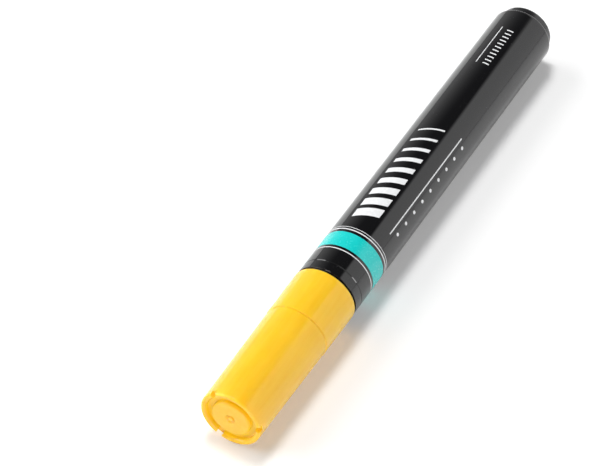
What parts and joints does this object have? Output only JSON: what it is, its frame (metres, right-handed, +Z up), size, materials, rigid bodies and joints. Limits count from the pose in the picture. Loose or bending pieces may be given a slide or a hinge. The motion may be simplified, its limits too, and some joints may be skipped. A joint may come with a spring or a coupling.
{
  "type": "liquid chalk marker",
  "caption": "Pump-action liquid chalk marker with a glossy black barrel, a stepped tail and a long yellow vented cap that pulls off a spring-valved bullet nib.",
  "frame": {"origin": "on the table, under the middle of the marker's length", "axes": "+X along the marker's axis from cap to tail, +Z up from the table it lies on"},
  "size_m": [0.14, 0.0152, 0.0152],
  "materials": {
    "cap_yellow": "moulded plastic, matte above the groove and glossy on the skirt",
    "barrel_black": "high gloss black",
    "plug_black": "satin black moulding",
    "section_black": "glossy black moulding",
    "nib_fibre": "bonded acrylic fibre, soaked with pigment",
    "seat_soft": "soft natural elastomer",
    "valve_white": "natural polypropylene",
    "spring_steel": "drawn stainless wire",
    "ball_steel": "polished bearing steel"
  },
  "bodies": {
    "holder": {"barrel": "barrel_black", "rear_plug": "plug_black", "front_section": "section_black", "valve_seat": "seat_soft", "valve_cage": "valve_white", "valve_spring": "spring_steel"},
    "cap": {"cap": "cap_yellow"},
    "nib": {"nib": "nib_fibre"},
    "valve_stem": {"valve_stem": "valve_white"},
    "mixing_ball": {"mixing_ball": "ball_steel"}
  },
  "joints": [
    {"name": "cap_pull", "type": "slide", "parent": "holder", "child": "cap", "axis": [-1, 0, 0], "range_m": [0, 0.045]},
    {"name": "nib_press", "type": "slide", "parent": "holder", "child": "nib", "axis": [1, 0, 0], "range_m": [0, 0.0025], "stiffness_N_per_m": 800, "springref_m": -0.002, "deforming": ["valve_spring"]},
    {"name": "valve_lift", "type": "slide", "parent": "holder", "child": "valve_stem", "axis": [1, 0, 0], "range_m": [0, 0.0025]},
    {"name": "ball_roll", "type": "slide", "parent": "holder", "child": "mixing_ball", "axis": [1, 0, 0], "range_m": [-0.0009, 0.0711]}
  ],
  "couplings": [
    {"joint": "valve_lift", "follows": "nib_press", "ratio": 1}
  ]
}
